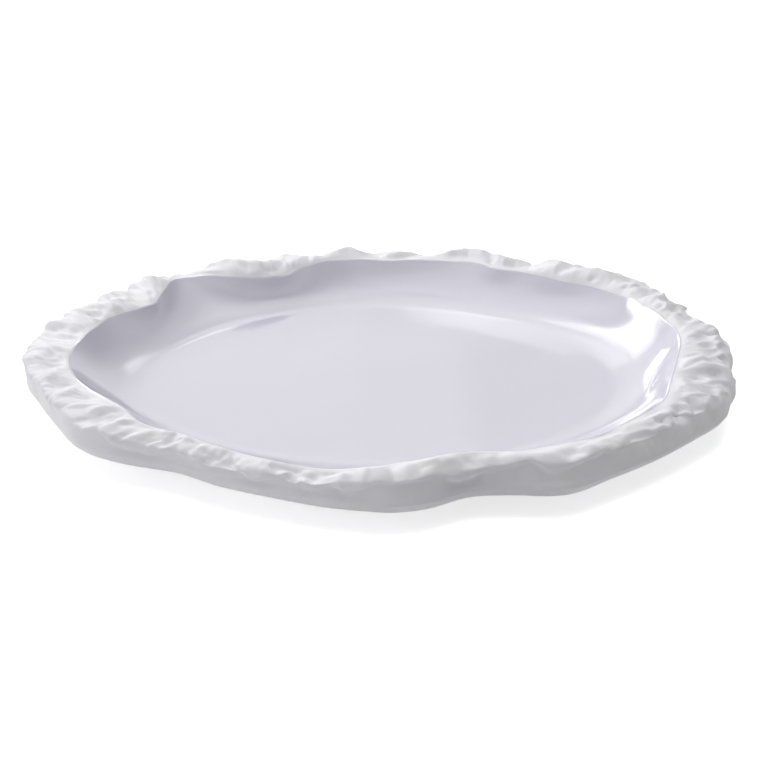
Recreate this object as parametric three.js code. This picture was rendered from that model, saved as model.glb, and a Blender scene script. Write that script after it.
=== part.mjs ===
// A torn-rim stoneware plate: a shallow dish with a chunky, rock-like rim, a glossy glaze
// lining in the well and a dry ring foot underneath. Millimetres, +Z up, front toward -Y.
import * as THREE from 'three';
import { ImprovedNoise } from 'three/addons/math/ImprovedNoise.js';

// Sizes of the whole plate: the oval that its torn outline follows, and the usual rim height
const PLATE_LENGTH = 280;
const PLATE_WIDTH = 268;
const RIM_HEIGHT = 25;

// Torn outline: depth of its lobes and bays, width of the rim inside it, height of its knolls
const LOBE_DEPTH = 10;
const RIM_WIDTH = 20;
const KNOLL_HEIGHT = 4;

// Dish: a flat floor, a well wall that curves up to the lip, and a ledge that carries the rim
const FLOOR_THICKNESS = 6;
const WELL_WALL_RUN = 22;
const LEDGE_RISE = 2.2;

// Outer wall, measured inward from the torn outline
const WALL_LEAN = 1;
const WALL_TURN_INSET = 3;
const WALL_TURN_DROP = 2.7;
const SKIRT_INSET = 14;
const SKIRT_RISE = 3;

// Foot ring, measured inward from the oval, and the flat of the dish outside it
const FOOT_HEIGHT = 4;
const FOOT_INSET = 57;
const FOOT_WIDTH = 8;
const FOOT_BEVEL = 1;
const FOOT_SHELF = 11;

// Glaze coat
const GLAZE_THICKNESS = 0.6;

// Rock relief: depth and size of the large chips and of the small dents, and the ragged lines
// where the rock ends at the glaze and at the smooth outer wall
const CHIP_DEPTH = 1.8;
const CHIP_SIZE = 19;
const DENT_DEPTH = 1.2;
const DENT_SIZE = 9;
const LIP_WAVE_DEPTH = 0.4;
const BORDER_DROP = 4.5;
const BORDER_TOOTH_DEPTH = 2;

// Steps round the plate, round its foot, and up each half of the well wall
const STATIONS = 180;
const FOOT_STATIONS = 96;
const WALL_STEPS = 3;

// Rim by bearing, in degrees from +X toward the back: outer edge past the oval in lobe depths,
// glaze edge inside the oval in rim widths, crest above the rim height in knoll heights,
// and drop from the crest to the glaze edge in knoll heights
const RIM = [
  [0, 0.05, 1.05, 0, 0.2], [8, 0.3, 0.9, 0, 0.2], [16, 0.1, 0.86, 0, 0.2],
  [20, -0.1, 0.85, -0.05, 0.2], [26, 0.4, 0.84, 0, 0.2], [32, 0.65, 0.8, 0.25, 0.6],
  [36, 0.65, 0.8, 0.7, 1], [41, 0.6, 0.82, 0.65, 1], [48, 0.45, 0.95, 0.85, 1.2],
  [52, 0.45, 0.95, 0.9, 1.25], [56, 0.45, 0.87, 0.65, 0.95], [60, 0.35, 0.86, 0.2, 0.5],
  [64, 0.25, 0.9, 0.2, 0.4], [68, 0.5, 0.68, 0.2, 0.45], [72, 0.6, 0.6, 0.45, 0.7],
  [76, 0.55, 0.6, -0.2, 0.05], [82, 0.45, 0.62, -0.25, 0.05], [88, 0.35, 0.68, -0.3, 0],
  [92, 0.4, 0.67, 0.05, 0.25], [96, 0.45, 0.66, 0.3, 0.5], [100, 0.35, 0.72, 0.05, 0.3],
  [104, 0.3, 0.82, 0.2, 0.5], [108, 0.15, 1.05, 0.3, 0.75], [112, 0, 1.3, 0.3, 0.85],
  [116, -0.1, 1.38, 0.3, 0.9], [121, -0.1, 1.27, 0.7, 1.25], [125, 0.1, 1.05, 0.6, 1],
  [129, 0.3, 0.65, -0.05, 0.2], [133, 0.2, 0.53, -0.15, 0.1], [136, 0.15, 0.63, -0.1, 0.1],
  [140, 0.3, 0.89, 0.25, 0.45], [145, 0.1, 1.18, 0.4, 0.75], [150, -0.05, 1.4, 0.35, 0.75],
  [156, -0.05, 1.27, 0.4, 0.85], [161, 0, 1.12, 0.35, 0.75], [168, 0.15, 1.04, 0.3, 0.55],
  [174, 0.2, 1.01, 0.1, 0.3], [184, 0.05, 0.94, -0.05, 0.2], [194, -0.4, 0.92, -0.15, 0.2],
  [204, -0.5, 1.04, -0.15, 0.2], [214, -0.35, 1.17, -0.2, 0.2], [222, -0.75, 1.07, -0.55, 0.2],
  [232, -1.4, 1.25, -0.9, 0.2], [242, -1.15, 1.12, -1, 0.2], [252, -0.9, 0.9, -1, 0.2],
  [262, -0.45, 0.73, -0.9, 0.2], [268, -0.25, 0.66, -0.6, 0.2], [272, -0.15, 0.76, -0.25, 0.2],
  [277, -0.35, 0.86, 0, 0.2], [285, -1.1, 1.14, -0.3, 0.2], [292, -0.85, 0.97, -0.35, 0.2],
  [300, -0.1, 0.77, -0.1, 0.2], [310, -0.4, 0.77, -0.3, 0.2], [320, -0.45, 0.88, -0.12, 0.2],
  [331, -0.3, 0.86, 0, 0.2], [340, 0.05, 1.18, 0, 0.2], [346, 0, 1.28, 0, 0.2],
  [350, 0.1, 1.28, 0, 0.2], [355, -0.15, 1.2, 0, 0.2],
];

// Rock section from the outer edge inward: place across the rim, share of the drop from the crest
// to the glaze edge, share of the drop from the crest to the smooth wall
const ROCK_SECTION = [
  [0.97, 0, 0.72], [0.86, 0, 0.42], [0.68, 0, 0.18], [0.46, 0, 0.03], [0.25, 0.2, 0], [0.07, 0.65, 0],
];

// Seeds of the noise field, one for each thing that it shapes
const LIFT_SEED = 3.1;
const SHIFT_SEED = 18.4;
const DENT_SEED = 7.3;
const LIP_SEED = 31.7;
const BORDER_SEED = 12.9;
const NOISE_SHARE = 2;
const SIDE_SHARE = 0.4;

// Levels and insets that follow from the sizes
const UNDERSIDE_Z = FOOT_HEIGHT;
const FLOOR_Z = UNDERSIDE_Z + FLOOR_THICKNESS;
const LEDGE_Z = FLOOR_Z + LEDGE_RISE;
const FLOOR_INSET = Math.max(...RIM.map((row) => row[2])) * RIM_WIDTH + WELL_WALL_RUN;
const noise = new ImprovedNoise();

// Radius of the plain oval at a bearing
function ovalRadius(bearing) {
  const x = Math.cos(bearing) / (PLATE_LENGTH / 2);
  const y = Math.sin(bearing) / (PLATE_WIDTH / 2);
  return 1 / Math.hypot(x, y);
}

// Smooth closed curve through one column of the rim list
function rimShare(bearing, column) {
  const degrees = THREE.MathUtils.euclideanModulo(THREE.MathUtils.radToDeg(bearing), 360);
  const count = RIM.length;
  let i = count - 1;
  while (RIM[i][0] > degrees + 1e-9) i -= 1;
  const value = (k) => RIM[(k + count) % count][column];
  const turn = (k) => RIM[(k + count) % count][0] + 360 * Math.floor(k / count);
  const span = turn(i + 1) - turn(i);
  const t = (degrees - turn(i)) / span;
  const slopeIn = (value(i + 1) - value(i - 1)) / (turn(i + 1) - turn(i - 1)) * span;
  const slopeOut = (value(i + 2) - value(i)) / (turn(i + 2) - turn(i)) * span;
  return (2 * t ** 3 - 3 * t ** 2 + 1) * value(i) + (t ** 3 - 2 * t ** 2 + t) * slopeIn
    + (3 * t ** 2 - 2 * t ** 3) * value(i + 1) + (t ** 3 - t ** 2) * slopeOut;
}

// Smooth noise round the oval, with features of a given size
function noiseRound(bearing, size, seed) {
  const reach = ovalRadius(bearing) / size;
  return NOISE_SHARE * noise.noise(Math.cos(bearing) * reach, Math.sin(bearing) * reach, seed);
}

// Rock relief at a place round and across the rim: large chips plus small dents
function relief(bearing, across, seed) {
  return noiseRound(bearing, CHIP_SIZE, seed + across) * CHIP_DEPTH
    + noiseRound(bearing, DENT_SIZE, seed + DENT_SEED + 2 * across) * DENT_DEPTH;
}

// Points down a stretch of a round well wall, at distances out from the edge of the floor
function wellPoints(oval, arc, from, to) {
  const points = [];
  for (let k = 0; k <= WALL_STEPS; k += 1) {
    const out = from + (to - from) * k / WALL_STEPS;
    points.push([oval - FLOOR_INSET + out, FLOOR_Z + arc - Math.sqrt(arc ** 2 - out ** 2)]);
  }
  return points;
}

// The plate cut at one bearing, as stretches of points with a radius and a height
function sectionAt(bearing) {
  const oval = ovalRadius(bearing);
  const outer = oval + rimShare(bearing, 1) * LOBE_DEPTH;
  const crest = RIM_HEIGHT + rimShare(bearing, 3) * KNOLL_HEIGHT;
  // The well wall is an arc that leaves the floor level and rises to the rim
  const run = FLOOR_INSET - rimShare(bearing, 2) * RIM_WIDTH;
  const rise = crest - rimShare(bearing, 4) * KNOLL_HEIGHT - GLAZE_THICKNESS - FLOOR_Z;
  const arc = (run ** 2 + rise ** 2) / (2 * rise);
  const ledgeRun = Math.sqrt(arc ** 2 - (arc - LEDGE_RISE) ** 2);
  // The glaze edge waves up and down on that arc
  const edge = run + noiseRound(bearing, DENT_SIZE, LIP_SEED) * LIP_WAVE_DEPTH;
  const lip = oval - FLOOR_INSET + edge;
  const lipZ = FLOOR_Z + arc - Math.sqrt(arc ** 2 - edge ** 2) + GLAZE_THICKNESS;
  // A wide rim falls further to the smooth wall than a narrow one
  const drop = BORDER_DROP * (outer - lip) / RIM_WIDTH;
  const border = crest - drop + noiseRound(bearing, DENT_SIZE, BORDER_SEED) * BORDER_TOOTH_DEPTH;
  const rock = ROCK_SECTION.map(([across, inFall, outFall]) => {
    // The relief fades out toward the glaze edge
    const strength = Math.sin(Math.PI * (0.03 + 0.8 * across));
    const lift = relief(bearing, across, LIFT_SEED) * strength;
    const shift = relief(bearing, across, SHIFT_SEED) * strength * SIDE_SHARE;
    const fall = inFall * (crest - lipZ) + outFall * drop;
    return [lip + (outer - lip) * across + shift, crest - fall + lift];
  });
  return {
    underside: [
      [oval - FOOT_INSET + FOOT_SHELF, UNDERSIDE_Z],
      [outer - SKIRT_INSET, UNDERSIDE_Z + SKIRT_RISE],
      [outer - WALL_TURN_INSET, LEDGE_Z - WALL_TURN_DROP],
    ],
    seat: [outer - WALL_LEAN, LEDGE_Z],
    wall: [[outer - WALL_LEAN * 0.3, (LEDGE_Z + border) / 2], [outer, border]],
    rock,
    lipTop: [lip, lipZ],
    upperWell: wellPoints(oval, arc, edge, ledgeRun),
    lowerWell: wellPoints(oval, arc, ledgeRun, 0),
  };
}

// Dish: underside, turn of the wall, flat ledge for the rim, lower well wall, floor
function dishSection(bearing) {
  const cut = sectionAt(bearing);
  return [...cut.underside, cut.seat, ...cut.lowerWell];
}

// Rim: outer wall, torn rock, edge of the glaze, well wall down to the ledge
function rimSection(bearing) {
  const cut = sectionAt(bearing);
  return [cut.seat, ...cut.wall, ...cut.rock, cut.lipTop, ...cut.upperWell];
}

// Glaze: up the clay of the well to the lip, then down again on its own surface
function glazeSection(bearing) {
  const cut = sectionAt(bearing);
  const clay = [...cut.upperWell, ...cut.lowerWell.slice(1)];
  return [...clay.toReversed(), ...clay.map(([r, z]) => [r, z + GLAZE_THICKNESS])];
}

// Foot: a ring with bevelled lower edges
function footSection(bearing) {
  const outer = ovalRadius(bearing) - FOOT_INSET;
  const inner = outer - FOOT_WIDTH;
  return [
    [outer - FOOT_BEVEL, 0], [outer, FOOT_BEVEL], [outer, FOOT_HEIGHT],
    [inner, FOOT_HEIGHT], [inner, FOOT_BEVEL], [inner + FOOT_BEVEL, 0],
  ];
}

// Rings of 3-D points, one ring for each place in a section
function ringsOf(section, stations) {
  const cuts = [];
  for (let j = 0; j < stations; j += 1) {
    const bearing = 2 * Math.PI * j / stations;
    cuts.push(section(bearing).map(([r, z]) => (
      new THREE.Vector3(r * Math.cos(bearing), r * Math.sin(bearing), z)
    )));
  }
  return cuts[0].map((_, i) => cuts.map((cut) => cut[i]));
}

// Closed skin over the rings: joined end to end, or capped on the axis at two heights
function skin(rings, caps) {
  const stations = rings[0].length;
  const points = rings.flat();
  const faces = [];
  const id = (i, j) => (i % rings.length) * stations + (j % stations);
  const bands = caps ? rings.length - 1 : rings.length;
  for (let i = 0; i < bands; i += 1) {
    for (let j = 0; j < stations; j += 1) {
      const [a, b, c, d] = [id(i, j), id(i, j + 1), id(i + 1, j + 1), id(i + 1, j)];
      // The shorter diagonal, so that two skins that meet are split alike
      if (points[a].distanceTo(points[c]) <= points[b].distanceTo(points[d])) {
        faces.push(a, b, c, a, c, d);
      } else {
        faces.push(a, b, d, b, c, d);
      }
    }
  }
  if (caps) {
    const low = points.push(new THREE.Vector3(0, 0, caps[0])) - 1;
    const high = points.push(new THREE.Vector3(0, 0, caps[1])) - 1;
    for (let j = 0; j < stations; j += 1) {
      faces.push(low, id(0, j + 1), id(0, j));
      faces.push(high, id(rings.length - 1, j), id(rings.length - 1, j + 1));
    }
  }
  const geometry = new THREE.BufferGeometry().setFromPoints(points);
  geometry.setIndex(faces);
  geometry.computeVertexNormals();
  return geometry;
}

const matteClay = { color: 0xeeece9, roughness: 0.75, metalness: 0 };
const glossGlaze = { color: 0xeceaf0, roughness: 0.12, metalness: 0 };
const dryClay = { color: 0xe2ded6, roughness: 0.9, metalness: 0 };

function piece(name, geometry, finish) {
  const mesh = new THREE.Mesh(geometry, new THREE.MeshStandardMaterial(finish));
  mesh.name = name;
  return mesh;
}

const group = new THREE.Group();
group.name = 'plate';
const glazeLevels = [FLOOR_Z, FLOOR_Z + GLAZE_THICKNESS];
group.add(
  piece('dish', skin(ringsOf(dishSection, STATIONS), [UNDERSIDE_Z, FLOOR_Z]), matteClay),
  piece('rock_rim', skin(ringsOf(rimSection, STATIONS)), matteClay),
  piece('well_glaze', skin(ringsOf(glazeSection, STATIONS), glazeLevels), glossGlaze),
  piece('foot_ring', skin(ringsOf(footSection, FOOT_STATIONS)), dryClay),
);

// The origin is the middle of the bounding box, on the plane that the foot stands on
const box = new THREE.Box3().setFromObject(group);
const middle = box.getCenter(new THREE.Vector3());
for (const mesh of group.children) {
  mesh.geometry.translate(-middle.x, -middle.y, -box.min.z);
}

export default group;
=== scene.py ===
"""Looks of the torn-rim plate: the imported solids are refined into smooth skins, the rim gets its
torn relief, and matte clay, gloss glaze and dry foot get their finishes."""

import math

import bpy
import numpy as np
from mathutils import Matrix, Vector


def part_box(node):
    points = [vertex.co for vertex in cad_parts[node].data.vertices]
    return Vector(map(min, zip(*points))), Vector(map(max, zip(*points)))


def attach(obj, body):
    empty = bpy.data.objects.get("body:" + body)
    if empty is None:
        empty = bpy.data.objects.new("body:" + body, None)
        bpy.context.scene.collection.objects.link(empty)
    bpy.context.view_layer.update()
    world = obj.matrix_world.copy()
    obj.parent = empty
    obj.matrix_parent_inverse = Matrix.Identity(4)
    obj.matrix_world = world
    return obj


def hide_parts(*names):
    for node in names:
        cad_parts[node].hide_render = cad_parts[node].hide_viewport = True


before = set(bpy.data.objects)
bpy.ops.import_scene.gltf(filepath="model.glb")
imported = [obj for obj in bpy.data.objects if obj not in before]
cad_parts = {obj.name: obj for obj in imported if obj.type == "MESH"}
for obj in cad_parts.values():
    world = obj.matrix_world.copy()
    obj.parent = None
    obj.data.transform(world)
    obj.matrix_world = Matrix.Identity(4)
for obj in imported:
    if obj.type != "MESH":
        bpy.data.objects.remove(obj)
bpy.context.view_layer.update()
MM = 0.001

# Camera: seen from the front and a little above, with a long lens
VIEW_TARGET = Vector((-0.1, -15.8, 15.0)) * MM
VIEW_DISTANCE = 828 * MM
VIEW_ELEVATION = math.radians(20)
LENS = 100
SENSOR = 36

# Skins: stations of the solids, and how finely the skins follow them
STATIONS = 180
FOOT_STATIONS = 96
STEPS_PER_STATION = 7
RIM_STEPS = 62
WALL_STEPS = 16
WELL_STEPS = 22
FOOT_STEPS = 4
# Finer steps along the curves of the wall and the well for each step that is kept
WALL_FINE = 4
WELL_FINE = 8

# Places in the cut of the rim, which runs over seat, middle of the wall, border, rock, lip, wall of
# the well and ledge: the lip is counted from the end
BORDER = 2
LIP_FROM_END = 5
# Last point of the outer wall in the cut of the dish, and number of points in its well
DISH_BORDER = 3
DISH_WELL = 4

# Stations over which the well is evened out round the plate, from the lip down to the floor
WELL_CALM = np.array((0.6, 3.0, 5.0, 6.0, 7.0, 8.0, 8.0))
# The same for the end of the rim's cut, from the last two points of the rock to the ledge
RIM_WELL_CALM = np.array((0.8, 1.2, *WELL_CALM[[0, 0, 1, 2, 3]]))
# The lip is calmer still at the right end: bearing, half width in degrees, reach in stations
LIP_CALM = (350, 22, 4)

# Least height of the rock's first ring above the border of the wall
BORDER_UNDER = 1.2 * MM

# Torn relief of the rim: sizes and depths in millimetres
RELIEF = {
    "Ridge Spacing": 13.0,
    "Scoop Depth": 2.6,
    "Dent Size": 5.2,
    "Dent Depth": 0.95,
    "Flake Size": 5.0,
    "Flake Reach": 0.8,
    "Flake Lift": 0.3,
    "Wall Dent Size": 16.0,
    "Wall Dent Depth": 0.45,
}
# Where parts of the relief begin and end, in millimetres past the torn edge: the rock itself, the
# break below it, the wall coming back to its face, and the lift of the flakes
ROCK_END = (-0.8, 1.6)
BREAK_START = (-1.0, 1.8)
BREAK_END = (3.0, 12.0)
FLAKE_RISE = (-5.0, -0.5)
# The same for the scoops, as a share of the way out across the rock
SCOOP_START = (0.1, 0.7)
# The same for all of the relief, in millimetres from the smooth clay and above the seat
CLEAR_OF_SMOOTH = (0.0, 4.0)
CLEAR_OF_SEAT = (0.3, 3.0)
# Ridges run out across the rim: longer than they are far apart, and leaning to the sides
RIDGE_STRETCH = 0.45
RIDGE_LEAN = 0.5

# Torn edge of the rock above the smooth wall: bearing in degrees, millimetres that the rock hangs
# below the border of the solid or, with a minus, that the wall breaks up into it, and depth there
TORN_EDGE = [
    (4, 0, 0.8), (7, -9, 1.8), (9, -7, 1.5), (11, -1, 0.8), (15, -3, 1.0), (19, 0, 0.6),
    (21, -8, 1.0), (23, 0, 0.8), (26, -4, 1.2), (28, -9, 1.8), (31, -2, 1.2), (33, -9, 1.0),
    (36, 0, 0.8), (41, -5, 1.2), (45, 1, 0.8), (50, -6, 1.4), (54, 0, 0.9), (58, -4, 1.0),
    (63, 1, 0.8), (67, -5, 1.2), (72, 0, 0.8), (77, -3, 1.0), (82, 1, 0.8), (86, -4, 1.2),
    (91, 0, 0.9), (95, 2, 0.8), (99, -4, 1.2), (104, 0, 0.8), (108, -6, 1.4), (112, 1, 0.9),
    (117, -5, 1.2), (121, 0, 0.9), (125, -6, 1.4), (130, 1, 0.8), (135, -3, 1.1), (139, 1, 0.8),
    (144, -6, 1.3), (149, 0, 0.8), (153, -5, 1.2), (158, 1, 0.8), (162, -5, 1.1), (167, 0, 0.7),
    (171, -4, 0.9), (176, 0, 0.5), (183, -1, 0.4), (189, 0, 0.4), (195, -2, 0.4), (200, 0, 0.4),
    (205, 0, 0.5), (209, -3, 0.5), (213, -2, 0.5), (216, 0, 0.6), (219, -4, 0.8), (222, 1.5, 0.9),
    (225, 1.5, 1.0), (227, 3, 1.0), (229, 1, 1.0), (232, -1.5, 1.0), (235, 0.5, 1.0),
    (238, -0.5, 1.0), (240, -6, 1.6), (241.5, -3, 1.2), (244, -6, 1.6), (246, -4, 1.4),
    (247.5, 0.5, 1.1), (249, 3, 1.1), (250.5, 1, 1.0), (252, -1.5, 1.0), (253.5, 0.5, 1.1),
    (255, -4, 1.6), (256, -5, 1.8), (257, -3, 1.5), (258.5, 1, 1.1), (259.5, 0, 1.0),
    (261, 1, 1.0), (262.5, -2, 1.1), (264, 2.5, 1.1), (266, 1, 1.0), (268, 0, 0.9),
    (270, -1.5, 0.9), (273, -2, 0.8), (275, -1, 0.7), (278, -2, 0.8), (280, 0, 0.9),
    (282, 2.5, 1.0), (284, 1.5, 1.0), (286, 1, 1.0), (288, 1, 1.0), (290, 0, 1.1),
    (292, -2.5, 1.3), (294, -3.5, 1.4), (295.5, -2, 1.2), (297, 0.5, 1.1), (299, 1, 1.1),
    (301, -1.5, 1.3), (302.5, -2, 1.3), (304, 0.5, 1.1), (305.5, -2, 1.3),
    (307, -2, 1.1), (309, -0.5, 1.0), (311, -2.5, 1.4), (313, -4.5, 1.9), (315, -6, 2.0),
    (317, -6.5, 2.0), (319, -4.5, 1.5), (320.5, -2, 1.1), (322.5, -1, 1.0), (324, -1.5, 1.1),
    (325, -8, 2.0), (327, -8, 2.2), (328.5, -3, 1.4), (329.5, 0, 1.0), (331, -8.5, 2.0),
    (332, -8.5, 2.0), (333, -4, 1.4), (334.5, 0, 1.0), (336, -5, 1.6), (338, -1.5, 1.0),
    (339.5, -7, 1.6), (341, -0.5, 1.0), (343, -5.5, 1.7), (345, -2.5, 1.1), (347, -7, 1.8),
    (349, -1, 1.0), (352, -7, 2.0), (354, -0.5, 1.0), (356, -10, 2.0), (358.5, -2, 1.1),
    (360, -12, 2.2), (362.5, -9, 1.8),
]

# Steps round the plate over which the torn edge is evened out
EDGE_CALM = 3

# How rough the rock is round the plate: bearing, share of the ridges, share of the dents
ROUGHNESS = [
    (0, 1.3, 1.0), (20, 0.9, 1.0), (40, 0.35, 0.8), (60, 0.3, 0.7), (75, 0.1, 0.4), (100, 0.1, 0.5),
    (115, 0.3, 0.9), (135, 0.3, 1.0), (155, 0.25, 1.3), (185, 0.2, 1.4), (210, 0.3, 1.2),
    (230, 0.4, 0.9), (255, 0.4, 0.9), (270, 0.2, 0.6), (290, 0.2, 0.5), (305, 0.3, 0.6),
    (325, 0.8, 0.8), (342, 1.3, 1.0),
]

# Single hollows: bearing, millimetres from the lip, half length round and across, depth
HOLLOWS = [
    (49.7, 8, 2.5, 4.5, 1.1), (42, 5, 1.6, 1.6, 0.6), (28.5, 13, 3, 4.5, 1.2),
    (21, 9, 1.2, 4.5, 0.6), (33.5, 9, 1.3, 4.5, 0.7), (66.5, 6, 1.6, 4.5, 0.9),
    (60.3, 4.5, 1, 3, 0.5), (115.5, 4.5, 4, 2, 0.7), (121, 8.5, 2.3, 3.3, 1.2),
    (145.5, 5, 2.5, 2, 0.7), (151, 7, 2, 2.5, 0.6), (155.5, 11, 2, 2.5, 0.6),
    (148, 10, 2, 2, 0.5), (160, 12, 2, 3, 0.6), (163, 7, 1.6, 2, 0.5),
    (170, 12.5, 2, 2, 0.6), (185, 6, 3, 4, 0.7), (0.8, 12.5, 2.3, 4, 2.2),
    (8.5, 15.5, 2.5, 5, 1.6), (202, 6, 1.6, 5, 0.7),
    (352.5, 13.5, 2.2, 2.5, 1.5), (357, 18.5, 2.4, 3.5, 2.0), (347.5, 17.5, 2.2, 5, 2.0),
    (344.6, 10, 1.5, 2.5, 1.0), (338.7, 16, 2.0, 4, 2.0), (332.4, 11, 1.8, 3, 1.8),
    (327.2, 9, 3.6, 1.8, 1.6), (322.2, 10.2, 3.2, 1.8, 1.5), (336, 5.8, 1, 2, 0.7),
    (34.6, 6.1, 1.2, 2, 0.8), (22.6, 5.1, 1.6, 1.6, 0.7),
    (212, 9, 1.6, 4, 0.6), (218.5, 12, 1.6, 6, 0.9), (207, 4.5, 1.4, 3, 0.5),
    (192, 9, 1.6, 5, 0.5),
]

# Clay beside the lip that the break has left smooth: bearing, millimetres
SMOOTH = [
    (0, 0.8), (60, 0.8), (180, 0.8), (250, 1.0), (285, 1.5), (298, 3.0), (310, 5.0), (320, 5.0),
    (332, 3.5), (345, 1.0),
]
# Bead of the glaze where it ends on the rock: how far it runs over the lip, and its height
BEAD_WIDTH = 0.8 * MM
BEAD_HEIGHT = 0.04 * MM
# Fall of the bead to the rock at its outer edge: share of its width, share of its height
BEAD_FALL = np.array([
    (1, -0.1), (0.95, 0.3), (0.85, 0.65), (0.7, 0.9), (0.5, 1), (0.3, 1), (0.15, 1)])
# Fine steps down the wall over which the bead fades out
BEAD_FADE = 9
# The coat is rounded over the lip: passes, first ring, and rings past the bead
ROUND_PASSES, ROUND_FROM, ROUND_PAST = 4, 2, 6
# The glaze is thicker where it has pooled at the foot of the wall: bearing, depth in millimetres
POOL = [
    (0, 1.3), (30, 1.5), (60, 1.5), (80, 1.3), (100, 1.2), (120, 1.1), (132, 0.6), (145, 0.1),
    (160, 0), (230, 0), (270, 0.3), (320, 0.7), (345, 1.0),
]
# Reach of the pool inward over the floor and up the wall, the point of the well that it reaches
# from, counted down from the lip, and steps round the plate over which its depth is evened out
POOL_REACH = 20 * MM
POOL_CLIMB = 14 * MM
POOL_POINT = 4
POOL_CALM = 36
# The floor inside the foot of the wall: rings, and the radius of the last as a share of the first
FLOOR_RINGS, FLOOR_MIDDLE = 20, 0.35


def linear(hex_colour):
    """sRGB hex to the linear colour that a shader socket takes."""
    parts = [int(hex_colour[i:i + 2], 16) / 255 for i in (1, 3, 5)]
    return [p / 12.92 if p <= 0.04045 else ((p + 0.055) / 1.055) ** 2.4 for p in parts] + [1.0]


def add(tree, kind, inputs=None, **settings):
    """Adds a node with its settings; an input is a value, or a node or socket to link from."""
    node = tree.nodes.new(kind)
    for name, value in settings.items():
        setattr(node, name, value)
    for name, value in (inputs or {}).items():
        if isinstance(value, bpy.types.Node):
            value = value.outputs[0]
        if isinstance(value, bpy.types.NodeSocket):
            tree.links.new(value, node.inputs[name])
        else:
            node.inputs[name].default_value = value
    return node


def place_camera():
    """Camera at the angle of the photograph, level from side to side."""
    data = bpy.data.cameras.new("plate_view")
    data.lens = LENS
    data.sensor_width = SENSOR
    camera = bpy.data.objects.new("plate_view", data)
    bpy.context.scene.collection.objects.link(camera)
    back = Vector((0, -math.cos(VIEW_ELEVATION), math.sin(VIEW_ELEVATION)))
    camera.location = VIEW_TARGET + back * VIEW_DISTANCE
    camera.rotation_euler = (math.pi / 2 - VIEW_ELEVATION, 0, 0)
    bpy.context.scene.camera = camera


place_camera()

# The upright axis of the plate is the middle of its foot
foot_low, foot_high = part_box("foot_ring")
AXIS = [(foot_low[k] + foot_high[k]) / 2 for k in (0, 1)]


def cuts_of(node, stations):
    """A solid cut at every station: radius and height of each point, in order along the cut."""
    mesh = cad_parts[node].data
    corners = np.empty(len(mesh.vertices) * 3)
    mesh.vertices.foreach_get("co", corners)
    points, merged = np.unique(corners.reshape(-1, 3).round(6), axis=0, return_inverse=True)
    merged = merged.ravel()
    x, y = points[:, 0] - AXIS[0], points[:, 1] - AXIS[1]
    radius = np.hypot(x, y)
    station = np.round(np.arctan2(y, x) * stations / (2 * math.pi)).astype(int) % stations
    station[radius < MM] = -1
    beside = [set() for _ in points]
    for face in mesh.polygons:
        ring = [merged[v] for v in face.vertices]
        for a, b in zip(ring, ring[1:] + ring[:1]):
            if station[a] == station[b] >= 0:
                beside[a].add(b)
                beside[b].add(a)
    cuts = []
    for j in range(stations):
        members = np.flatnonzero(station == j)
        ends = [m for m in members if len(beside[m]) == 1] or list(members)
        at = min(ends, key=lambda m: (round(points[m, 2], 4), -radius[m]))
        order = [at]
        nearby = sorted(beside[at], key=lambda m: -points[m, 2])
        while nearby:
            order.append(nearby[0])
            nearby = [m for m in beside[order[-1]] if m not in order]
        cuts.append([(radius[m], points[m, 2]) for m in order])
    return np.array(cuts)


def refine_round(cuts, steps):
    """Smooth closed curve round the plate through every station."""
    t = (np.arange(steps) / steps)[None, :, None, None]
    before, here = np.roll(cuts, 1, 0)[:, None], cuts[:, None]
    after, beyond = np.roll(cuts, -1, 0)[:, None], np.roll(cuts, -2, 0)[:, None]
    curve = 0.5 * (2 * here + (after - before) * t
                   + (2 * before - 5 * here + 4 * after - beyond) * t ** 2
                   + (3 * here - before - 3 * after + beyond) * t ** 3)
    return curve.reshape(-1, *cuts.shape[1:])


def calm_round(cuts, reach):
    """Evens out each ring of the cuts round the plate, over its own reach in stations."""
    often = np.fft.rfftfreq(len(cuts))[:, None, None]
    kept = np.exp(-2 * (math.pi * often * np.asarray(reach)[None, :, None]) ** 2)
    return np.fft.irfft(np.fft.rfft(cuts, axis=0) * kept, len(cuts), axis=0)


def refine_across(cuts, steps):
    """Even steps along each cut on a smooth curve through its points; also each point's place."""
    fine = np.empty((len(cuts), steps + 1, 2))
    place = np.zeros(cuts.shape[:2])
    for j, cut in enumerate(cuts):
        place[j, 1:] = np.cumsum(np.hypot(*np.diff(cut, axis=0).T))
        slope = np.gradient(cut, place[j], axis=0)
        s = np.linspace(0, place[j, -1], steps + 1)
        k = np.clip(np.searchsorted(place[j], s, side="right") - 1, 0, len(cut) - 2)
        span = place[j, k + 1] - place[j, k]
        t = ((s - place[j, k]) / span)[:, None]
        span = span[:, None]
        fine[j] = ((2 * t ** 3 - 3 * t ** 2 + 1) * cut[k]
                   + (t ** 3 - 2 * t ** 2 + t) * span * slope[k]
                   + (3 * t ** 2 - 2 * t ** 3) * cut[k + 1]
                   + (t ** 3 - t ** 2) * span * slope[k + 1])
    return fine, place


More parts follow.
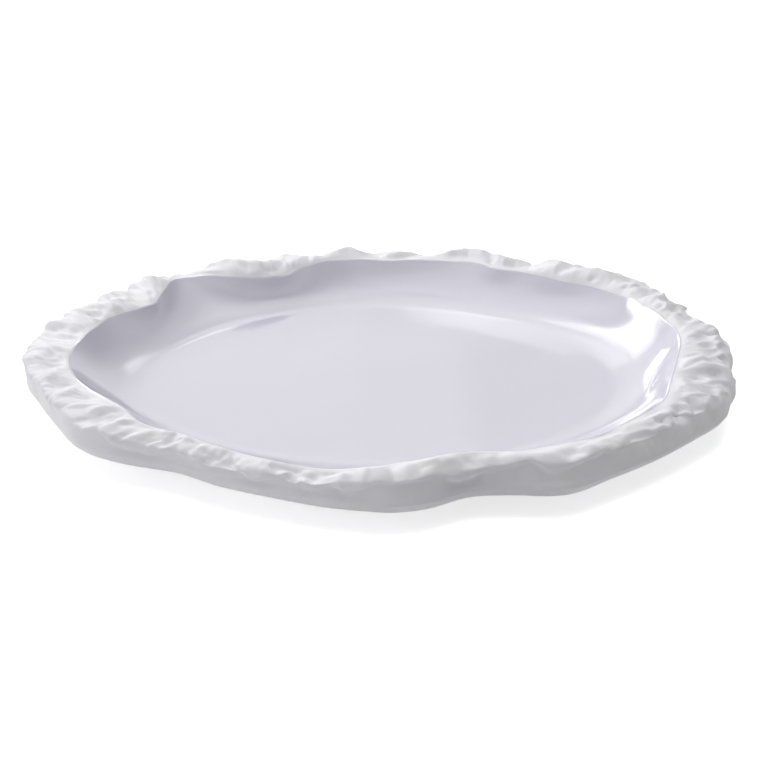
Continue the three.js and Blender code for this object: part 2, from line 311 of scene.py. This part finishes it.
def skin(name, cuts, caps=None, sharp=()):
    """Closed mesh over the cuts: joined end to end, or capped on the axis at two heights.
    The rings in sharp get a hard edge."""
    stations, rings = cuts.shape[:2]
    turn = np.arange(stations) * 2 * math.pi / stations
    points = np.empty((stations, rings, 3))
    points[..., 0] = AXIS[0] + cuts[..., 0] * np.cos(turn)[:, None]
    points[..., 1] = AXIS[1] + cuts[..., 0] * np.sin(turn)[:, None]
    points[..., 2] = cuts[..., 1]
    here = np.arange(stations)
    after = (here + 1) % stations
    faces = []
    for i in range(rings - 1 if caps else rings):
        up = (i + 1) % rings
        band = [here * rings + i, after * rings + i, after * rings + up, here * rings + up]
        faces += np.stack(band, 1).tolist()
    flat = points.reshape(-1, 3)
    if caps:
        flat = np.vstack([flat, [[*AXIS, caps[0]], [*AXIS, caps[1]]]])
        low, high = len(flat) - 2, len(flat) - 1
        faces += [[low, b, a] for a, b in zip(here * rings, after * rings)]
        faces += [[high, a, b] for a, b in zip(here * rings + rings - 1, after * rings + rings - 1)]
    mesh = bpy.data.meshes.new(name)
    mesh.from_pydata(flat.tolist(), [], faces)
    mesh.shade_smooth()
    ends = np.empty(len(mesh.edges) * 2, dtype=int)
    mesh.edges.foreach_get("vertices", ends)
    ends = ends.reshape(-1, 2)
    hard = np.zeros(len(ends), dtype=bool)
    for i in sharp:
        hard |= ((ends % rings) == i).all(1) & (ends < stations * rings).all(1)
    mesh.attributes.new("sharp_edge", "BOOLEAN", "EDGE").data.foreach_set("value", hard)
    piece = bpy.data.objects.new(name, mesh)
    bpy.context.scene.collection.objects.link(piece)
    return piece


def store(piece, name, values):
    """Keeps a number or a vector for every point of a piece."""
    values = np.asarray(values, dtype=np.float32)
    if values.ndim == 1:
        piece.data.attributes.new(name, "FLOAT", "POINT").data.foreach_set("value", values)
    else:
        layer = piece.data.attributes.new(name, "FLOAT_VECTOR", "POINT")
        layer.data.foreach_set("vector", values.ravel())


def bake(piece):
    """Turns a piece with a modifier into a plain mesh."""
    solved = piece.evaluated_get(bpy.context.evaluated_depsgraph_get())
    mesh = bpy.data.meshes.new_from_object(solved)
    piece.modifiers.clear()
    piece.data = mesh


# Finishes

def start_finish(name):
    """A new material, its tree, its shader, and the places on the piece for its patterns."""
    material = bpy.data.materials.new(name)
    material.use_nodes = True
    tree = material.node_tree
    place = add(tree, "ShaderNodeTexCoord").outputs["Object"]
    return material, tree, tree.nodes["Principled BSDF"], place


def matte_clay():
    """White stoneware under a dry satin-matte glaze: soft light, no mirror, a fine sandy grain."""
    material, tree, shader, place = start_finish("matte_stoneware")
    # Cloudy difference in the glaze, about 14 mm across
    cloud = add(tree, "ShaderNodeTexNoise", {
        "Vector": place, "Scale": 1 / (14 * MM), "Detail": 3.0})
    tone = add(tree, "ShaderNodeValToRGB", {"Fac": cloud.outputs["Fac"]})
    tone.color_ramp.elements[0].color = linear("#EEEDF2")
    tone.color_ramp.elements[1].color = linear("#F5F4F8")
    tree.links.new(tone.outputs["Color"], shader.inputs["Base Color"])
    # Sand in the clay: grains of 0.5 mm, drawn a little coarser than real so that they show
    grain = add(tree, "ShaderNodeTexNoise", {
        "Vector": place, "Scale": 1 / (0.9 * MM), "Detail": 2.0})
    bump = add(tree, "ShaderNodeBump", {
        "Height": grain.outputs["Fac"], "Strength": 0.25, "Distance": 0.12 * MM})
    tree.links.new(bump.outputs["Normal"], shader.inputs["Normal"])
    shader.inputs["Roughness"].default_value = 0.58
    shader.inputs["IOR"].default_value = 1.5
    return material


def gloss_glaze():
    """Transparent gloss glaze over white slip: a clean mirror over a cool lavender white, with
    the slow waves that a poured coat keeps."""
    material, tree, shader, place = start_finish("gloss_glaze")
    # The coat runs a little thicker and cooler in patches of about 40 mm
    cloud = add(tree, "ShaderNodeTexNoise", {
        "Vector": place, "Scale": 1 / (40 * MM), "Detail": 2.0})
    tone = add(tree, "ShaderNodeValToRGB", {"Fac": cloud.outputs["Fac"]})
    tone.color_ramp.elements[0].color = linear("#DCDAE7")
    tone.color_ramp.elements[1].color = linear("#E0DEEB")
    tree.links.new(tone.outputs["Color"], shader.inputs["Base Color"])
    # Slow waves of about 16 mm
    wave = add(tree, "ShaderNodeTexNoise", {
        "Vector": place, "Scale": 1 / (16 * MM), "Detail": 1.0})
    bump = add(tree, "ShaderNodeBump", {
        "Height": wave.outputs["Fac"], "Strength": 0.15, "Distance": 0.3 * MM})
    tree.links.new(bump.outputs["Normal"], shader.inputs["Normal"])
    shader.inputs["Roughness"].default_value = 0.07
    shader.inputs["IOR"].default_value = 1.52
    return material


def dry_clay():
    """Bare fired clay wiped clean of glaze: warmer, dull, with open sandy pores that carry painted
    shade.
    """
    material, tree, shader, place = start_finish("dry_foot_clay")
    # Pores and sand of about 1.2 mm: the tone of the sand, with painted shade where the bump sinks
    # into pores
    speck_and_pore_shade = add(tree, "ShaderNodeTexNoise", {
        "Vector": place, "Scale": 1 / (1.2 * MM), "Detail": 3.0})
    tone = add(tree, "ShaderNodeValToRGB", {"Fac": speck_and_pore_shade.outputs["Fac"]})
    tone.color_ramp.elements[0].position = 0.35
    # The dark end of the ramp falls in the low spots of the bump, so it is painted shade in the
    # pores
    tone.color_ramp.elements[0].color = linear("#CFC8BC")
    tone.color_ramp.elements[1].color = linear("#E1DBD0")
    tree.links.new(tone.outputs["Color"], shader.inputs["Base Color"])
    bump = add(tree, "ShaderNodeBump", {
        "Height": speck_and_pore_shade.outputs["Fac"], "Strength": 0.5, "Distance": 0.15 * MM})
    tree.links.new(bump.outputs["Normal"], shader.inputs["Normal"])
    shader.inputs["Roughness"].default_value = 0.9
    return material


# Torn relief

def torn_relief_tree():
    """Tears the rock of the rim: it breaks off above the smooth wall, with scoops between ridges on
    its outer half and soft dents all over. The relief fades out at the edge of the glaze."""
    tree = bpy.data.node_groups.new("torn_relief", "GeometryNodeTree")
    face = tree.interface
    face.new_socket("Geometry", in_out="INPUT", socket_type="NodeSocketGeometry")
    for name, value in RELIEF.items():
        face.new_socket(name, in_out="INPUT", socket_type="NodeSocketFloat").default_value = value
    face.new_socket("Finish", in_out="INPUT", socket_type="NodeSocketMaterial")
    face.new_socket("Geometry", in_out="OUTPUT", socket_type="NodeSocketGeometry")
    size = add(tree, "NodeGroupInput").outputs
    calc, vary, ramp = "ShaderNodeMath", "ShaderNodeTexNoise", "ShaderNodeMapRange"
    read = "GeometryNodeInputNamedAttribute"
    soft = {"interpolation_type": "SMOOTHSTEP"}
    flow = add(tree, read, {"Name": "flow"}, data_type="FLOAT_VECTOR")
    place = add(tree, read, {"Name": "place"}, data_type="FLOAT_VECTOR")
    outward, past, depth, hollow, ridges, dents, gap, seat = (
        add(tree, read, {"Name": name}, data_type="FLOAT") for name in (
            "outward", "past_edge", "break_depth", "hollow", "ridges", "dents", "from_smooth",
            "from_seat"))

    # Ragged edge: the rock breaks off at it, and the wall comes back to its face further down
    often = add(tree, calc, {0: 1.0, 1: size["Flake Size"]}, operation="DIVIDE")
    flake = add(tree, vary, {"Vector": flow, "Scale": often, "Detail": 1.0}, normalize=False)
    edge = add(tree, calc, {0: flake, 1: size["Flake Reach"], 2: past}, operation="MULTIPLY_ADD")
    rock = add(tree, ramp, {
        "Value": edge, 1: ROCK_END[0], 2: ROCK_END[1], 3: 1.0, 4: 0.0}, **soft)
    fall = add(tree, ramp, {"Value": edge, 1: BREAK_START[0], 2: BREAK_START[1]}, **soft)
    back = add(tree, ramp, {
        "Value": edge, 1: BREAK_END[0], 2: BREAK_END[1], 3: 1.0, 4: 0.0}, **soft)
    cut = add(tree, calc, {0: fall, 1: back}, operation="MULTIPLY")
    cut = add(tree, calc, {0: cut, 1: depth}, operation="MULTIPLY")
    tip = add(tree, ramp, {"Value": edge, 1: FLAKE_RISE[0], 2: FLAKE_RISE[1]}, **soft)
    tip = add(tree, calc, {0: tip, 1: size["Flake Lift"]}, operation="MULTIPLY")

    # Scoops between ridges, deeper toward the outer edge
    often = add(tree, calc, {0: 1.0, 1: size["Ridge Spacing"]}, operation="DIVIDE")
    ridge = add(tree, vary, {
        "Vector": flow, "Scale": often, "Detail": 1.5, "Distortion": 0.4}, normalize=False)
    scoop = add(tree, calc, {0: ridge}, operation="ABSOLUTE")
    reach = add(tree, ramp, {"Value": outward, 1: SCOOP_START[0], 2: SCOOP_START[1]}, **soft)
    scoop = add(tree, calc, {0: scoop, 1: reach}, operation="MULTIPLY")
    scoop = add(tree, calc, {0: scoop, 1: ridges}, operation="MULTIPLY")
    scoop = add(tree, calc, {0: scoop, 1: size["Scoop Depth"]}, operation="MULTIPLY")

    # Soft dents all over the rock, and slow ones on the wall
    often = add(tree, calc, {0: 1.0, 1: size["Dent Size"]}, operation="DIVIDE")
    dent = add(tree, vary, {"Vector": flow, "Scale": often, "Detail": 1.2}, normalize=False)
    dent = add(tree, calc, {0: dent, 1: dents}, operation="MULTIPLY")
    dent = add(tree, calc, {0: dent, 1: size["Dent Depth"]}, operation="MULTIPLY")
    often = add(tree, calc, {0: 1.0, 1: size["Wall Dent Size"]}, operation="DIVIDE")
    slow = add(tree, vary, {"Vector": place, "Scale": often, "Detail": 1.0}, normalize=False)
    slow = add(tree, calc, {0: slow, 1: size["Wall Dent Depth"]}, operation="MULTIPLY")

    # Together: rock above the edge, wall below it, nothing at the glaze and at the seat
    rise = add(tree, calc, {0: tip, 1: scoop}, operation="SUBTRACT")
    rise = add(tree, calc, {0: rise, 1: dent}, operation="ADD")
    rise = add(tree, "ShaderNodeMix", {"Factor": rock.outputs[0], 2: slow, 3: rise})
    rise = add(tree, calc, {0: rise, 1: cut}, operation="SUBTRACT")
    rise = add(tree, calc, {0: rise, 1: hollow}, operation="SUBTRACT")
    quiet = add(tree, ramp, {
        "Value": gap, 1: CLEAR_OF_SMOOTH[0], 2: CLEAR_OF_SMOOTH[1]}, **soft)
    still = add(tree, ramp, {"Value": seat, 1: CLEAR_OF_SEAT[0], 2: CLEAR_OF_SEAT[1]}, **soft)
    rise = add(tree, calc, {0: rise, 1: quiet}, operation="MULTIPLY")
    rise = add(tree, calc, {0: rise, 1: still}, operation="MULTIPLY")
    rise = add(tree, calc, {0: rise, 1: MM}, operation="MULTIPLY")
    normal = add(tree, "GeometryNodeInputNormal")
    offset = add(tree, "ShaderNodeVectorMath", {
        0: normal, "Scale": rise.outputs[0]}, operation="SCALE")
    moved = add(tree, "GeometryNodeSetPosition", {
        "Geometry": size["Geometry"], "Offset": offset})
    solid = add(tree, "GeometryNodeRealizeInstances", {"Geometry": moved})
    dressed = add(tree, "GeometryNodeSetMaterial", {
        "Geometry": solid, "Material": size["Finish"]})
    add(tree, "NodeGroupOutput", {"Geometry": dressed})
    return tree


# Pieces

clay, glaze, dry = matte_clay(), gloss_glaze(), dry_clay()
rim_cuts, dish_cuts, glaze_cuts = (
    cuts_of(node, STATIONS) for node in ("rock_rim", "dish", "well_glaze"))
# The well runs through all three: it is evened out alike in each, so that they stay together
rim_well = rim_cuts[:, -len(RIM_WELL_CALM):]
rim_well[:] = calm_round(rim_well, RIM_WELL_CALM)
dish_well = dish_cuts[:, -DISH_WELL:]
dish_well[:] = calm_round(dish_well, WELL_CALM[-DISH_WELL:])
glaze_cuts = calm_round(glaze_cuts, np.concatenate([WELL_CALM[::-1], WELL_CALM]))
LIP = rim_cuts.shape[1] - LIP_FROM_END
# First point of the upper face of the coat, at the lip: the face below it comes before
COAT_TOP = glaze_cuts.shape[1] // 2


def calm_lip():
    """Evens out the lip further at one bearing, in the rim and the glaze alike."""
    at, spread, reach = LIP_CALM
    near = (np.arange(STATIONS) * 360 / STATIONS - at + 180) % 360 - 180
    near = np.exp(-(near / spread) ** 2)[:, None, None]
    for lip in (rim_cuts[:, LIP - 1:LIP + 2], glaze_cuts[:, COAT_TOP - 1:COAT_TOP + 1]):
        lip += near * (calm_round(lip, [reach]) - lip)


calm_lip()
# The border lies under the rock all the way round, so that no fold shows along it
fold = np.maximum(rim_cuts[:, BORDER, 1] - rim_cuts[:, BORDER + 1, 1] + BORDER_UNDER, 0)
rim_cuts[:, BORDER, 1] -= fold
rim_cuts[:, BORDER - 1, 1] -= fold / 2
rim_cuts, dish_cuts, glaze_cuts = (
    refine_round(cuts, STEPS_PER_STATION) for cuts in (rim_cuts, dish_cuts, glaze_cuts))
rim_top, rim_place = refine_across(rim_cuts[:, :LIP + 1], RIM_STEPS)
turns = np.arange(len(rim_cuts)) * 360 / len(rim_cuts)


def make_rim():
    """The rim with its torn relief."""
    cuts = np.concatenate([rim_top, rim_cuts[:, LIP + 1:]], 1)
    rim = skin("rock_rim_skin", cuts, sharp=(0, RIM_STEPS))
    stations, rings = cuts.shape[:2]
    # Where each point lies: millimetres along the cut from the seat, the border and the lip
    whole, border = rim_place[:, -1:] / MM, rim_place[:, BORDER, None] / MM
    along = np.zeros((stations, rings))
    along[:, :RIM_STEPS + 1] = np.linspace(0, 1, RIM_STEPS + 1) * whole
    gap = np.zeros((stations, rings))
    gap[:, :RIM_STEPS + 1] = whole - along[:, :RIM_STEPS + 1]
    middle = cuts[:, :, 0].mean() / MM
    lean = -RIDGE_LEAN * np.cos(np.radians(turns))[:, None]
    turn = np.radians(turns)[:, None] + gap * lean / middle
    flow = [np.cos(turn) * middle, np.sin(turn) * middle, gap * RIDGE_STRETCH]
    store(rim, "flow", np.stack(flow, -1).reshape(-1, 3))
    # The torn edge, the roughness and the single hollows, each where its list puts it
    at, *torn = np.array(TORN_EDGE).T
    torn = np.stack([np.interp(turns, at, values, period=360) for values in torn], -1)
    torn = calm_round(torn[:, None], [EDGE_CALM])[:, 0]
    edge = whole - border + torn[:, :1]
    store(rim, "past_edge", (gap - edge).ravel())
    store(rim, "break_depth", np.repeat(torn[:, 1], rings))
    at, ridges, dents = np.array(ROUGHNESS).T
    store(rim, "ridges", np.repeat(np.interp(turns, at, ridges, period=360), rings))
    store(rim, "dents", np.repeat(np.interp(turns, at, dents, period=360), rings))
    hollow = np.zeros((stations, rings))
    for at, out, half_round, half_across, depth in HOLLOWS:
        aside = np.radians((turns - at + 180) % 360 - 180)[:, None] * middle
        hollow += depth * np.exp(-(aside / half_round) ** 2 - ((gap - out) / half_across) ** 2)
    store(rim, "hollow", hollow.ravel())
    smooth = np.interp(turns, *np.array(SMOOTH).T, period=360)[:, None]
    store(rim, "from_seat", along.ravel())
    store(rim, "from_smooth", (gap - smooth).ravel())
    store(rim, "outward", (gap / (whole - border)).ravel())
    spots = np.empty(len(rim.data.vertices) * 3)
    rim.data.vertices.foreach_get("co", spots)
    store(rim, "place", spots.reshape(-1, 3) / MM)
    tree = torn_relief_tree()
    relief = rim.modifiers.new("torn_relief", "NODES")
    relief.node_group = tree
    for item in tree.interface.items_tree:
        if item.in_out == "INPUT" and item.name in RELIEF:
            relief[item.identifier] = RELIEF[item.name]
        elif item.in_out == "INPUT" and item.name == "Finish":
            relief[item.identifier] = clay
    bake(rim)
    return rim


def make_dish():
    """The dish, with its wall shaped together with the rim's, so that one runs smoothly into the
    other."""
    wall = np.concatenate([dish_cuts[:, :DISH_BORDER + 1], rim_cuts[:, 1:BORDER + 1]], 1)
    steps = WALL_FINE * WALL_STEPS
    fine, place = refine_across(wall, steps)
    keep = []
    for j in range(len(wall)):
        s = np.linspace(0, place[j, DISH_BORDER], WALL_STEPS + 1)
        at = s / place[j, -1] * steps
        k = np.minimum(at.astype(int), steps - 1)
        t = (at - k)[:, None]
        keep.append(fine[j, k] * (1 - t) + fine[j, k + 1] * t)
    keep = np.array(keep)
    keep[:, -1] = dish_cuts[:, DISH_BORDER]
    cuts = np.concatenate([keep, dish_cuts[:, DISH_BORDER + 1:]], 1)
    dish = skin("dish_skin", cuts, caps=(dish_cuts[0, 0, 1], dish_cuts[0, -1, 1]),
                sharp=(WALL_STEPS, WALL_STEPS + 1))
    dish.data.materials.append(clay)
    return dish


def make_glaze():
    """The coat of the well, which runs over the lip and ends on the rock in a rounded bead."""
    well, _ = refine_across(glaze_cuts[:, COAT_TOP:], WELL_FINE * WELL_STEPS)
    # On the rock, from the outer edge of the bead to the lip, then down the wall
    at = RIM_STEPS * (1 - BEAD_FALL[:, 0] * BEAD_WIDTH / rim_place[:, -1:])
    k = at.astype(int)
    t = (at - k)[..., None]
    row = np.arange(len(well))[:, None]
    over = rim_top[row, k] * (1 - t) + rim_top[row, k + 1] * t
    coat = np.concatenate([over, well[:, :BEAD_FADE], well[:, BEAD_FADE::WELL_FINE]], 1)
    fade = np.linspace(1, 0, BEAD_FADE)
    rise = BEAD_HEIGHT * np.concatenate([BEAD_FALL[:, 1], fade ** 2 * (3 - 2 * fade)])
    along = np.gradient(coat, axis=1)
    along /= np.linalg.norm(along, axis=2, keepdims=True)
    out = np.stack([along[..., 1], -along[..., 0]], -1)
    coat[:, :len(rise)] += out[:, :len(rise)] * rise[:, None]
    # Rounded over the lip
    near = slice(ROUND_FROM, len(BEAD_FALL) + ROUND_PAST)
    for _ in range(ROUND_PASSES):
        mean = (coat[:, :-2] + 2 * coat[:, 1:-1] + coat[:, 2:]) / 4
        coat[:, near] = mean[:, near.start - 1:near.stop - 1]
    # On over the floor, with the glaze pooled round its edge
    inward = np.linspace(1, FLOOR_MIDDLE, FLOOR_RINGS + 1)[1:, None] ** (1, 0)
    coat = np.concatenate([coat, coat[:, -1:] * inward], 1)
    foot = coat[..., 0] - glaze_cuts[:, COAT_TOP + POOL_POINT, :1]
    foot /= np.where(foot > 0, POOL_CLIMB, POOL_REACH)
    pool = np.interp(turns, *np.array(POOL).T, period=360)[:, None, None]
    coat[..., 1] += calm_round(pool, [POOL_CALM])[:, 0] * MM * np.exp(-foot ** 2)
    cuts = np.concatenate([glaze_cuts[:, :COAT_TOP], coat], 1)
    piece = skin("well_glaze_skin", cuts, caps=(glaze_cuts[0, 0, 1], glaze_cuts[0, -1, 1]),
                 sharp=(COAT_TOP - 1, COAT_TOP))
    piece.data.materials.append(glaze)
    return piece


def make_foot():
    """The foot ring, with a smooth curve round the plate."""
    cuts = refine_round(cuts_of("foot_ring", FOOT_STATIONS), FOOT_STEPS)
    foot = skin("foot_ring_skin", cuts, sharp=(0,))
    foot.data.materials.append(dry)
    return foot


for piece, node, slot in (
        (make_dish(), "dish", "matte_stoneware"),
        (make_rim(), "rock_rim", "matte_stoneware"),
        (make_glaze(), "well_glaze", "gloss_glaze"),
        (make_foot(), "foot_ring", "dry_foot")):
    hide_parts(node)
    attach(piece, "root")


# Stage and light

# Softboxes: bearing and height of the direction they shine from, distance, width, length, watts,
# and whether the gloss mirrors them. The key is brighter toward its middle.
SOFTBOXES = {
    "key_core": (115.3, 32.5, 4.0, 2.05, 0.49, 15.9, True),
    "key_middle": (113.8, 31.8, 4.0, 2.31, 0.67, 8.8, True),
    "key_edge": (112.7, 31.0, 4.0, 2.46, 0.91, 11.1, True),
    "window": (99.0, 9.5, 4.0, 0.53, 0.90, 6.0, True),
    "glow": (86.8, 25.3, 4.0, 0.30, 0.40, 0.26, True),
    "glow_near": (87.6, 26.6, 1.2, 0.07, 0.11, 0.024, True),
    "glow_high": (93.5, 35.0, 4.0, 0.50, 0.85, 1.2, True),
    "upper": (112, 61, 4.0, 2.00, 2.60, 14.0, True),
    "card": (106.6, 20, 4.0, 2.65, 1.41, 2.4, True),
    "card_left": (108.5, 20, 4.0, 2.40, 1.41, 1.1, True),
    "key_soft": (65, 50, 1.2, 0.70, 0.50, 2.2, False),
    "low_left": (152, 22, 1.2, 0.80, 0.40, 2.6, False),
    "left": (205, 18, 1.2, 0.70, 0.40, 2.5, False),
    "overhead": (290, 74, 1.2, 0.80, 0.70, 6.5, False),
}

# Cards in the white surroundings that only the gloss mirrors: bearing, height, distance, half
# width, half height, and light of the middle, where 1 is white
CARDS = {
    "dim_right": (60, 24, 4.5, 2.1, 1.5, 0.0),
    "dim_high": (45, 68, 4.5, 1.6, 1.5, 0.0),
    "light_left": (83, 47.5, 4.5, 0.75, 0.95, 2.1),
}
# Part of the way from the middle to the edge of a card where it begins to turn white
CARD_EVEN = 0.2

FLOOR_SIZE = 6.0
# Light of the floor itself, for the camera and the gloss; the lamps light it up to white
FLOOR_GLOW = 0.7


def direction(bearing, height):
    """From the plate toward a bearing and a height in degrees."""
    around, up = math.radians(bearing), math.radians(height)
    return Vector((math.cos(up) * math.cos(around), math.cos(up) * math.sin(around), math.sin(up)))


def hang_softbox(name, bearing, height, distance, width, length, watts, mirrored):
    """Soft rectangular lamp that faces the plate."""
    data = bpy.data.lights.new(name, "AREA")
    data.shape = "RECTANGLE"
    data.size, data.size_y, data.energy = width, length, watts
    lamp = bpy.data.objects.new(name, data)
    bpy.context.scene.collection.objects.link(lamp)
    toward = direction(bearing, height)
    lamp.location = toward * distance
    lamp.rotation_euler = (-toward).to_track_quat("-Z", "Y").to_euler()
    lamp.visible_glossy = mirrored


def hang_card(name, bearing, height, distance, half_width, half_height, level):
    """Dim or light card that faces the plate and turns white toward its edge."""
    # A plane from -1 to 1, so that its scale is half its size
    bpy.ops.mesh.primitive_plane_add(size=2.0)
    card = bpy.context.object
    card.name = name
    toward = direction(bearing, height)
    card.location = toward * distance
    card.rotation_euler = toward.to_track_quat("-Z", "Y").to_euler()
    card.scale = (half_width, half_height, 1)
    card.visible_camera = card.visible_diffuse = card.visible_shadow = False
    material, tree, shader, place = start_finish(name)
    card.data.materials.append(material)
    out = add(tree, "ShaderNodeVectorMath", {0: place}, operation="LENGTH").outputs["Value"]
    light = add(tree, "ShaderNodeMapRange", {
        "Value": out, 1: CARD_EVEN, 2: 1.0, 3: level, 4: 1.0}, interpolation_type="SMOOTHSTEP")
    paint = shader.inputs
    paint["Base Color"].default_value = linear("#000000")
    paint["Specular IOR Level"].default_value = 0.0
    paint["Emission Color"].default_value = linear("#FFFFFF")
    tree.links.new(light.outputs[0], paint["Emission Strength"])


def make_stage():
    """Pale floor and surroundings that the camera and the gloss see as white; the floor keeps the
    shadow of the plate."""
    bpy.ops.mesh.primitive_plane_add(size=FLOOR_SIZE)
    floor = bpy.context.object
    floor.name = "floor"
    material = bpy.data.materials.new("pale_floor")
    material.use_nodes = True
    floor.data.materials.append(material)
    world = bpy.data.worlds.new("studio")
    bpy.context.scene.world = world
    world.use_nodes = True
    for tree, kind, strength, level in (
            (material.node_tree, "Principled BSDF", "Emission Strength", FLOOR_GLOW),
            (world.node_tree, "Background", "Strength", 1.0)):
        path = add(tree, "ShaderNodeLightPath").outputs
        seen = add(tree, "ShaderNodeMath", {
            0: path["Is Camera Ray"], 1: path["Is Glossy Ray"]}, operation="MAXIMUM")
        seen = add(tree, "ShaderNodeMath", {
            0: seen, 1: path["Is Transmission Ray"]}, operation="MAXIMUM")
        light = add(tree, "ShaderNodeMapRange", {"Value": seen, 3: 0.0, 4: level})
        tree.links.new(light.outputs[0], tree.nodes[kind].inputs[strength])
    paint = material.node_tree.nodes["Principled BSDF"].inputs
    paint["Base Color"].default_value = linear("#F0F0F1")
    paint["Emission Color"].default_value = linear("#FFFFFF")
    paint["Roughness"].default_value = 0.9
    world.node_tree.nodes["Background"].inputs["Color"].default_value = linear("#FFFFFF")


make_stage()
for name, facts in CARDS.items():
    hang_card(name, *facts)
for name, facts in SOFTBOXES.items():
    hang_softbox(name, *facts)
bpy.context.scene.view_settings.view_transform = "Standard"
